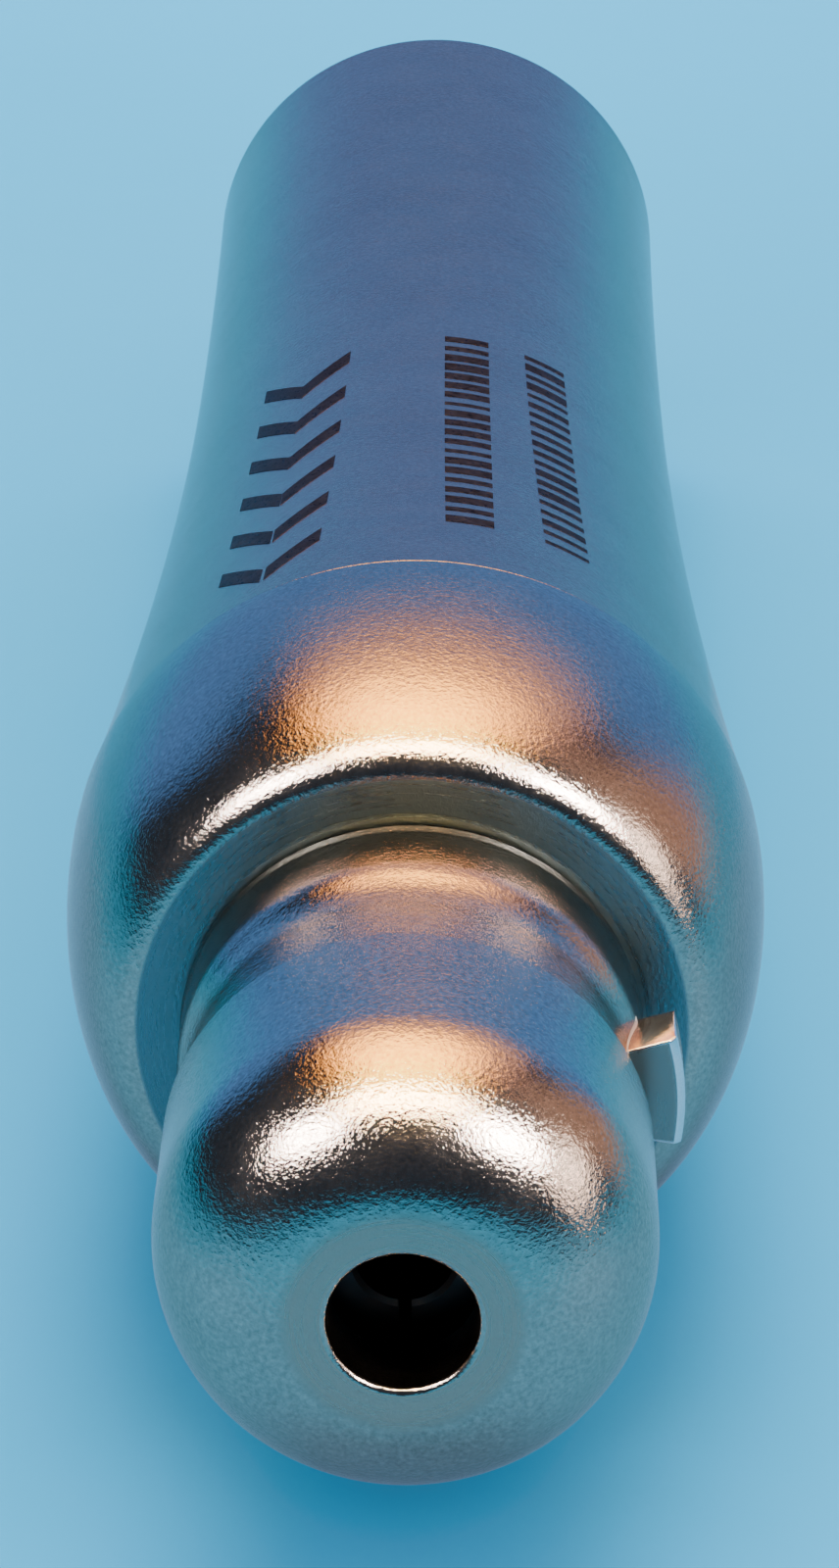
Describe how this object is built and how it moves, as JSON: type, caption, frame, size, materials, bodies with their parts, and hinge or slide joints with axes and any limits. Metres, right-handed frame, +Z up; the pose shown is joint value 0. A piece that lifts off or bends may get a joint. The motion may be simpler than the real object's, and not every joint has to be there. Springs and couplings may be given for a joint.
{
  "type": "straight prophy handpiece attachment",
  "caption": "Straight satin-metal dental handpiece for prophy angles: motor socket, planetary drive, twist-collar collet chuck and domed nose with an anti-turn key.",
  "frame": {"origin": "centre of the rear rim, at the mouth of the motor socket", "axes": "+Y along the axis out of the socket, so the nose points along -Y; +Z up; +X is the anti-turn key's side"},
  "size_m": [0.0188, 0.081, 0.0188],
  "materials": {
    "satin_casing": "bead-blasted satin",
    "turned_steel": "turned, satin",
    "ground_steel": "ground and polished",
    "gear_steel": "hobbed, lightly oiled",
    "spring_steel": "drawn wire",
    "bronze": "turned bronze",
    "cage_resin": "moulded phenolic",
    "seal_rubber": "moulded",
    "key_steel": "satin"
  },
  "bodies": {
    "housing": {"grip_sleeve": "satin_casing", "coupling_bush": "turned_steel", "nose_cone": "satin_casing", "anti_turn_key": "key_steel", "guide_tube": "turned_steel", "guide_lock_ring": "turned_steel", "guide_o_ring": "seal_rubber", "bearing_plate": "turned_steel", "ring_gear": "gear_steel", "gearbox_front": "turned_steel", "input_bearing_outer_race": "ground_steel", "rear_spindle_bearing_outer_race": "ground_steel", "front_spindle_bearing_outer_race": "ground_steel", "preload_washer": "spring_steel", "bearing_lock_ring": "turned_steel", "nose_seal": "seal_rubber"},
    "twist_collar": {"front_shell": "satin_casing", "cam_sleeve": "turned_steel"},
    "release": {"release_collar": "turned_steel", "cam_pins": "ground_steel"},
    "spindle": {"spindle": "turned_steel", "planet_carrier": "turned_steel", "planet_pins": "ground_steel", "planet_retainer": "turned_steel", "pilot_bush": "bronze", "rear_spindle_bearing_inner_race": "ground_steel", "front_spindle_bearing_inner_race": "ground_steel", "spring_seat": "turned_steel", "collet_spring": "spring_steel"},
    "input": {"input_shaft": "turned_steel", "drive_dog": "turned_steel", "dog_pin": "ground_steel", "sun_gear": "gear_steel", "input_bearing_inner_race": "ground_steel", "shaft_circlip": "spring_steel"},
    "planet_1": {"planet_gear_1": "gear_steel"},
    "planet_2": {"planet_gear_2": "gear_steel"},
    "planet_3": {"planet_gear_3": "gear_steel"},
    "chuck": {"collet": "turned_steel", "drawbar": "turned_steel", "cross_pin": "ground_steel", "thrust_ring": "bronze"},
    "input_balls": {"input_bearing_cage": "cage_resin", "input_bearing_balls": "ground_steel"},
    "rear_balls": {"rear_spindle_bearing_cage": "cage_resin", "rear_spindle_bearing_balls": "ground_steel"},
    "front_balls": {"front_spindle_bearing_cage": "cage_resin", "front_spindle_bearing_balls": "ground_steel"}
  },
  "joints": [
    {"name": "spindle_spin", "type": "hinge", "parent": "housing", "child": "spindle", "pos_m": [0, -0.06, 0], "axis": [0, 1, 0], "continuous": true},
    {"name": "input_spin", "type": "hinge", "parent": "housing", "child": "input", "pos_m": [0, -0.03, 0], "axis": [0, 1, 0], "continuous": true},
    {"name": "planet_1_spin", "type": "hinge", "parent": "spindle", "child": "planet_1", "pos_m": [0.00336, -0.0361, 0], "axis": [0, 1, 0], "continuous": true},
    {"name": "planet_2_spin", "type": "hinge", "parent": "spindle", "child": "planet_2", "pos_m": [-0.00168, -0.0361, 0.00291], "axis": [0, 1, 0], "continuous": true},
    {"name": "planet_3_spin", "type": "hinge", "parent": "spindle", "child": "planet_3", "pos_m": [-0.00168, -0.0361, -0.00291], "axis": [0, 1, 0], "continuous": true},
    {"name": "input_balls_roll", "type": "hinge", "parent": "housing", "child": "input_balls", "pos_m": [0, -0.02992, 0], "axis": [0, 1, 0], "continuous": true},
    {"name": "rear_balls_roll", "type": "hinge", "parent": "housing", "child": "rear_balls", "pos_m": [0, -0.0427, 0], "axis": [0, 1, 0], "continuous": true},
    {"name": "front_balls_roll", "type": "hinge", "parent": "housing", "child": "front_balls", "pos_m": [0, -0.06925, 0], "axis": [0, 1, 0], "continuous": true},
    {"name": "collar_twist", "type": "hinge", "parent": "housing", "child": "twist_collar", "pos_m": [0, -0.061, 0], "axis": [0, 1, 0], "range_deg": [0, 40]},
    {"name": "release_slide", "type": "slide", "parent": "twist_collar", "child": "release", "axis": [0, -1, 0], "range_m": [0, 0.001]},
    {"name": "chuck_slide", "type": "slide", "parent": "spindle", "child": "chuck", "axis": [0, -1, 0], "range_m": [0, 0.0007], "deforming": ["collet_spring"]}
  ],
  "couplings": [
    {"joint": "input_spin", "follows": "spindle_spin", "ratio": 4},
    {"joint": "planet_1_spin", "follows": "spindle_spin", "ratio": -3},
    {"joint": "planet_2_spin", "follows": "spindle_spin", "ratio": -3},
    {"joint": "planet_3_spin", "follows": "spindle_spin", "ratio": -3},
    {"joint": "input_balls_roll", "follows": "spindle_spin", "ratio": 1.52},
    {"joint": "rear_balls_roll", "follows": "spindle_spin", "ratio": 0.41429},
    {"joint": "front_balls_roll", "follows": "spindle_spin", "ratio": 0.41429},
    {"joint": "collar_twist", "follows": "release_slide", "rad_per_m": 698.13},
    {"joint": "chuck_slide", "follows": "release_slide", "ratio": 0.7}
  ]
}
